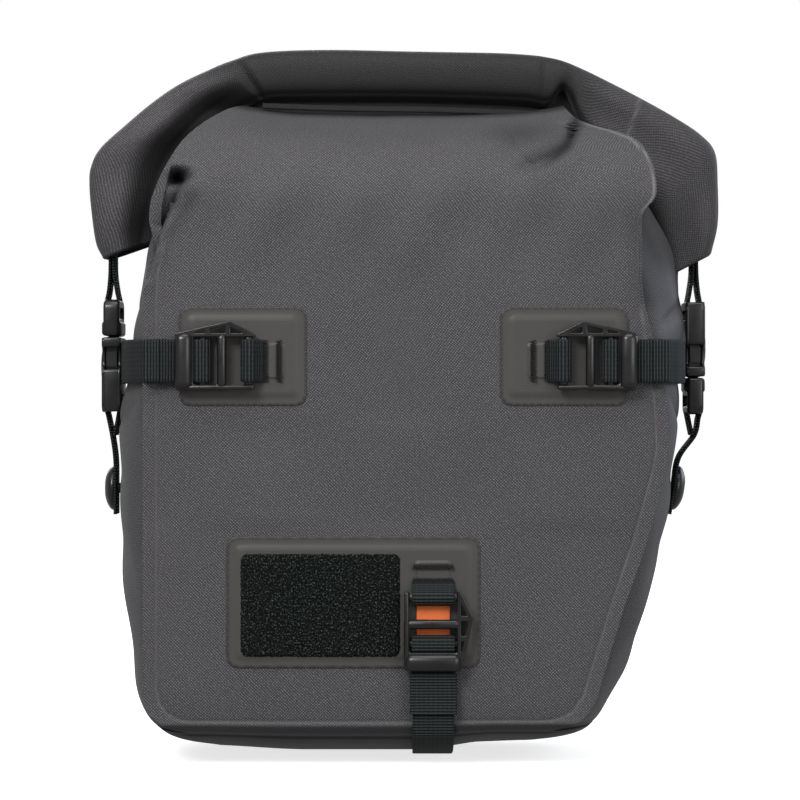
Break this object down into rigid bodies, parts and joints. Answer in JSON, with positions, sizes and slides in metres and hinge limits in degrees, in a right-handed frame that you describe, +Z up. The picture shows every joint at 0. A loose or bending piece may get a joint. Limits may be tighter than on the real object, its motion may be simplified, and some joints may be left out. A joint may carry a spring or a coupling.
{
  "type": "bicycle pannier bag",
  "caption": "Roll-top bicycle pannier with side-release closure, compression straps with ladder-lock tensioners, welded patches and rack hooks on its back.",
  "frame": {"origin": "on the floor at the middle of the bag's overall footprint", "axes": "+X to the right seen from the outer face, +Y towards the bicycle's rack, +Z up"},
  "size_m": [0.299, 0.1694, 0.334],
  "materials": {
    "coated_nylon": "matte",
    "welded_patch": "satin",
    "loop_field": "matte",
    "orange_tab": "satin",
    "webbing": "matte",
    "acetal": "satin",
    "rail_aluminium": "satin",
    "stiffener_plastic": "matte",
    "steel": "satin",
    "insert_rubber": "matte",
    "hook_nylon": "matte"
  },
  "bodies": {
    "bag": {"front_panel": "coated_nylon", "back_panel": "coated_nylon", "left_gusset": "coated_nylon", "right_gusset": "coated_nylon", "base_gusset": "coated_nylon", "roll_collar": "coated_nylon", "stiffener_board": "stiffener_plastic", "patch_upper_left": "welded_patch", "patch_upper_right": "welded_patch", "patch_lower": "welded_patch", "loop_field": "loop_field", "size_tab": "orange_tab", "webbing_loop_left": "webbing", "webbing_loop_right": "webbing", "webbing_loop_lower": "webbing", "strap_left": "webbing", "strap_right": "webbing", "strap_lower": "webbing", "side_buckle_left_female": "acetal", "side_buckle_right_male": "acetal", "side_strap_left": "webbing", "side_strap_right": "webbing", "anchor_buttons": "acetal", "anchor_backings": "steel", "upper_rail": "rail_aluminium", "lower_rail": "rail_aluminium", "rail_screws": "steel", "rail_nuts": "steel"},
    "roll_top": {"roll_closure": "coated_nylon", "roll_stiffener": "stiffener_plastic", "side_buckle_left_male": "acetal", "side_buckle_right_female": "acetal", "roll_strap_left": "webbing", "roll_strap_right": "webbing"},
    "tensioner_left": {"ladder_lock_left": "acetal", "strap_end_left": "webbing"},
    "tensioner_right": {"ladder_lock_right": "acetal", "strap_end_right": "webbing"},
    "tensioner_lower": {"ladder_lock_lower": "acetal", "strap_end_lower": "webbing"},
    "latch_arm_left_front_body": {"latch_arm_left_front": "acetal"},
    "latch_arm_left_back_body": {"latch_arm_left_back": "acetal"},
    "latch_arm_right_front_body": {"latch_arm_right_front": "acetal"},
    "latch_arm_right_back_body": {"latch_arm_right_back": "acetal"},
    "hook_left_body": {"rack_hook_left": "hook_nylon", "hook_insert_left": "insert_rubber", "gate_pin_left": "steel", "gate_spring_left": "steel"},
    "gate_left_body": {"gate_left": "hook_nylon"},
    "hook_right_body": {"rack_hook_right": "hook_nylon", "hook_insert_right": "insert_rubber", "gate_pin_right": "steel", "gate_spring_right": "steel"},
    "gate_right_body": {"gate_right": "hook_nylon"},
    "lower_slider_body": {"lower_slider": "hook_nylon", "hook_pivot_screw": "steel"},
    "lower_hook_body": {"lower_hook": "hook_nylon"},
    "handle_body": {"carry_handle": "webbing"}
  },
  "joints": [
    {"name": "roll_lift", "type": "slide", "parent": "bag", "child": "roll_top", "axis": [0, 0, 1], "range_m": [0, 0.12], "deforming": ["latch_arm_left_front", "latch_arm_left_back", "latch_arm_right_front", "latch_arm_right_back"]},
    {"name": "tensioner_tilt_left", "type": "hinge", "parent": "bag", "child": "tensioner_left", "pos_m": [-0.0702, -0.0801, 0.1843], "axis": [0, 0, 1], "range_deg": [0, 40]},
    {"name": "tensioner_tilt_right", "type": "hinge", "parent": "bag", "child": "tensioner_right", "pos_m": [0.0726, -0.0801, 0.1843], "axis": [0, 0, -1], "range_deg": [0, 40]},
    {"name": "tensioner_tilt_lower", "type": "hinge", "parent": "bag", "child": "tensioner_lower", "pos_m": [0.0135, -0.0801, 0.0771], "axis": [-1, 0, 0], "range_deg": [0, 40]},
    {"name": "squeeze_left_front", "type": "hinge", "parent": "roll_top", "child": "latch_arm_left_front_body", "pos_m": [-0.1373, -0.0178, 0.1949], "axis": [1, 0, 0], "range_deg": [0, 8.5], "stiffness_Nm_per_rad": 0.3, "springref_deg": -2.86},
    {"name": "squeeze_left_back", "type": "hinge", "parent": "roll_top", "child": "latch_arm_left_back_body", "pos_m": [-0.1373, -0.0012, 0.1949], "axis": [-1, 0, 0], "range_deg": [0, 8.5], "stiffness_Nm_per_rad": 0.3, "springref_deg": -2.86},
    {"name": "squeeze_right_front", "type": "hinge", "parent": "bag", "child": "latch_arm_right_front_body", "pos_m": [0.1373, -0.0178, 0.1789], "axis": [-1, 0, 0], "range_deg": [0, 8.5], "stiffness_Nm_per_rad": 0.3, "springref_deg": -2.86},
    {"name": "squeeze_right_back", "type": "hinge", "parent": "bag", "child": "latch_arm_right_back_body", "pos_m": [0.1373, -0.0012, 0.1789], "axis": [1, 0, 0], "range_deg": [0, 8.5], "stiffness_Nm_per_rad": 0.3, "springref_deg": -2.86},
    {"name": "hook_slide_left", "type": "slide", "parent": "bag", "child": "hook_left_body", "axis": [1, 0, 0], "range_m": [-0.012, 0.012]},
    {"name": "gate_swing_left", "type": "hinge", "parent": "hook_left_body", "child": "gate_left_body", "pos_m": [-0.08, 0.0675, 0.2326], "axis": [-1, 0, 0], "range_deg": [0, 80], "stiffness_Nm_per_rad": 0.02, "springref_deg": -17.19, "deforming": ["gate_spring_left"]},
    {"name": "hook_slide_right", "type": "slide", "parent": "bag", "child": "hook_right_body", "axis": [1, 0, 0], "range_m": [-0.012, 0.012]},
    {"name": "gate_swing_right", "type": "hinge", "parent": "hook_right_body", "child": "gate_right_body", "pos_m": [0.08, 0.0675, 0.2326], "axis": [-1, 0, 0], "range_deg": [0, 80], "stiffness_Nm_per_rad": 0.02, "springref_deg": -17.19, "deforming": ["gate_spring_right"]},
    {"name": "lower_hook_slide", "type": "slide", "parent": "bag", "child": "lower_slider_body", "axis": [1, 0, 0], "range_m": [-0.04, 0.04]},
    {"name": "lower_hook_swivel", "type": "hinge", "parent": "lower_slider_body", "child": "lower_hook_body", "pos_m": [0, 0.066, 0.078], "axis": [0, 1, 0], "range_deg": [-90, 90]},
    {"name": "handle_swing", "type": "hinge", "parent": "bag", "child": "handle_body", "pos_m": [0, 0.066, 0.234], "axis": [1, 0, 0], "range_deg": [0, 150]}
  ],
  "couplings": [
    {"joint": "squeeze_left_back", "follows": "squeeze_left_front", "ratio": 1},
    {"joint": "squeeze_right_back", "follows": "squeeze_right_front", "ratio": 1}
  ]
}
